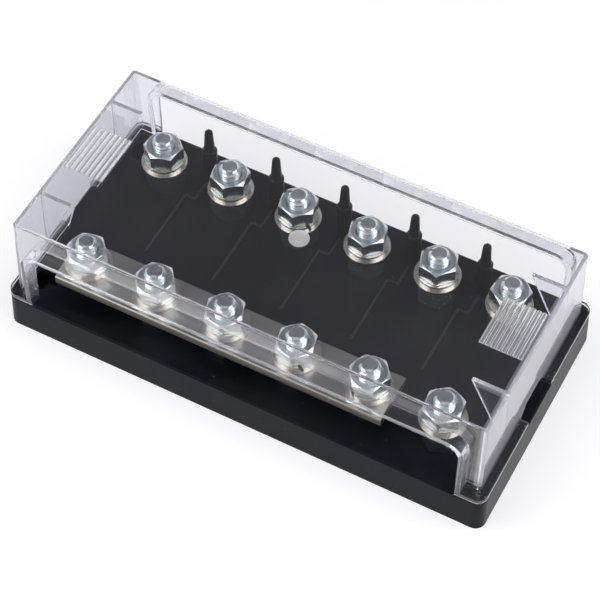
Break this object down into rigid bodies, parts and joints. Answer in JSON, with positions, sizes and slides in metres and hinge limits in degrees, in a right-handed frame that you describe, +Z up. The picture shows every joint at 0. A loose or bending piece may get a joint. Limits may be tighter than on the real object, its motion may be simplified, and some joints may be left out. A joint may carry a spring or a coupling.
{
  "type": "fuse holder",
  "caption": "Bolt-down strip fuse holder: black base, two rows of threaded studs with nuts and washers, a bus bar along one row and a clear lift-off cover with cable openings.",
  "frame": {"origin": "centre of the base's underside", "axes": "+Z up through the cover, +X along the row of ways, +Y towards the row without the bus bar"},
  "size_m": [0.1464, 0.0724, 0.0406],
  "materials": {
    "black_plastic": "satin, moulded",
    "clear_plastic": "clear polycarbonate",
    "zinc_steel": "bright zinc plated",
    "plated_washer": "bright plated",
    "plated_bar": "fine brushed, plated"
  },
  "bodies": {
    "base_assembly": {"base": "black_plastic", "bus_bar": "plated_bar", "flat_washers_front": "plated_washer", "stud_front_1": "zinc_steel", "lower_nut_front_1": "zinc_steel", "spring_washer_front_1": "plated_washer", "stud_front_2": "zinc_steel", "lower_nut_front_2": "zinc_steel", "spring_washer_front_2": "plated_washer", "stud_front_3": "zinc_steel", "lower_nut_front_3": "zinc_steel", "spring_washer_front_3": "plated_washer", "stud_front_4": "zinc_steel", "lower_nut_front_4": "zinc_steel", "spring_washer_front_4": "plated_washer", "stud_front_5": "zinc_steel", "lower_nut_front_5": "zinc_steel", "spring_washer_front_5": "plated_washer", "stud_front_6": "zinc_steel", "lower_nut_front_6": "zinc_steel", "spring_washer_front_6": "plated_washer", "flat_washers_rear": "plated_washer", "stud_rear_1": "zinc_steel", "lower_nut_rear_1": "zinc_steel", "spring_washer_rear_1": "plated_washer", "stud_rear_2": "zinc_steel", "lower_nut_rear_2": "zinc_steel", "spring_washer_rear_2": "plated_washer", "stud_rear_3": "zinc_steel", "lower_nut_rear_3": "zinc_steel", "spring_washer_rear_3": "plated_washer", "stud_rear_4": "zinc_steel", "lower_nut_rear_4": "zinc_steel", "spring_washer_rear_4": "plated_washer", "stud_rear_5": "zinc_steel", "lower_nut_rear_5": "zinc_steel", "spring_washer_rear_5": "plated_washer", "stud_rear_6": "zinc_steel", "lower_nut_rear_6": "zinc_steel", "spring_washer_rear_6": "plated_washer"},
    "cover": {"cover": "clear_plastic"},
    "top_nut_front_1": {"top_nut_front_1": "zinc_steel"},
    "top_nut_front_2": {"top_nut_front_2": "zinc_steel"},
    "top_nut_front_3": {"top_nut_front_3": "zinc_steel"},
    "top_nut_front_4": {"top_nut_front_4": "zinc_steel"},
    "top_nut_front_5": {"top_nut_front_5": "zinc_steel"},
    "top_nut_front_6": {"top_nut_front_6": "zinc_steel"},
    "top_nut_rear_1": {"top_nut_rear_1": "zinc_steel"},
    "top_nut_rear_2": {"top_nut_rear_2": "zinc_steel"},
    "top_nut_rear_3": {"top_nut_rear_3": "zinc_steel"},
    "top_nut_rear_4": {"top_nut_rear_4": "zinc_steel"},
    "top_nut_rear_5": {"top_nut_rear_5": "zinc_steel"},
    "top_nut_rear_6": {"top_nut_rear_6": "zinc_steel"}
  },
  "joints": [
    {"name": "cover_lift", "type": "slide", "parent": "base_assembly", "child": "cover", "axis": [0, 0, 1], "range_m": [0, 0.04]},
    {"name": "top_nut_front_1_turn", "type": "hinge", "parent": "base_assembly", "child": "top_nut_front_1", "pos_m": [-0.054, -0.0216, 0.0225], "axis": [0, 0, 1], "continuous": true},
    {"name": "top_nut_front_2_turn", "type": "hinge", "parent": "base_assembly", "child": "top_nut_front_2", "pos_m": [-0.0324, -0.0216, 0.0225], "axis": [0, 0, 1], "continuous": true},
    {"name": "top_nut_front_3_turn", "type": "hinge", "parent": "base_assembly", "child": "top_nut_front_3", "pos_m": [-0.0108, -0.0216, 0.0225], "axis": [0, 0, 1], "continuous": true},
    {"name": "top_nut_front_4_turn", "type": "hinge", "parent": "base_assembly", "child": "top_nut_front_4", "pos_m": [0.0108, -0.0216, 0.0225], "axis": [0, 0, 1], "continuous": true},
    {"name": "top_nut_front_5_turn", "type": "hinge", "parent": "base_assembly", "child": "top_nut_front_5", "pos_m": [0.0324, -0.0216, 0.0225], "axis": [0, 0, 1], "continuous": true},
    {"name": "top_nut_front_6_turn", "type": "hinge", "parent": "base_assembly", "child": "top_nut_front_6", "pos_m": [0.054, -0.0216, 0.0225], "axis": [0, 0, 1], "continuous": true},
    {"name": "top_nut_rear_1_turn", "type": "hinge", "parent": "base_assembly", "child": "top_nut_rear_1", "pos_m": [-0.054, 0.0198, 0.0225], "axis": [0, 0, 1], "continuous": true},
    {"name": "top_nut_rear_2_turn", "type": "hinge", "parent": "base_assembly", "child": "top_nut_rear_2", "pos_m": [-0.0324, 0.0198, 0.0225], "axis": [0, 0, 1], "continuous": true},
    {"name": "top_nut_rear_3_turn", "type": "hinge", "parent": "base_assembly", "child": "top_nut_rear_3", "pos_m": [-0.0108, 0.0198, 0.0225], "axis": [0, 0, 1], "continuous": true},
    {"name": "top_nut_rear_4_turn", "type": "hinge", "parent": "base_assembly", "child": "top_nut_rear_4", "pos_m": [0.0108, 0.0198, 0.0225], "axis": [0, 0, 1], "continuous": true},
    {"name": "top_nut_rear_5_turn", "type": "hinge", "parent": "base_assembly", "child": "top_nut_rear_5", "pos_m": [0.0324, 0.0198, 0.0225], "axis": [0, 0, 1], "continuous": true},
    {"name": "top_nut_rear_6_turn", "type": "hinge", "parent": "base_assembly", "child": "top_nut_rear_6", "pos_m": [0.054, 0.0198, 0.0225], "axis": [0, 0, 1], "continuous": true}
  ]
}
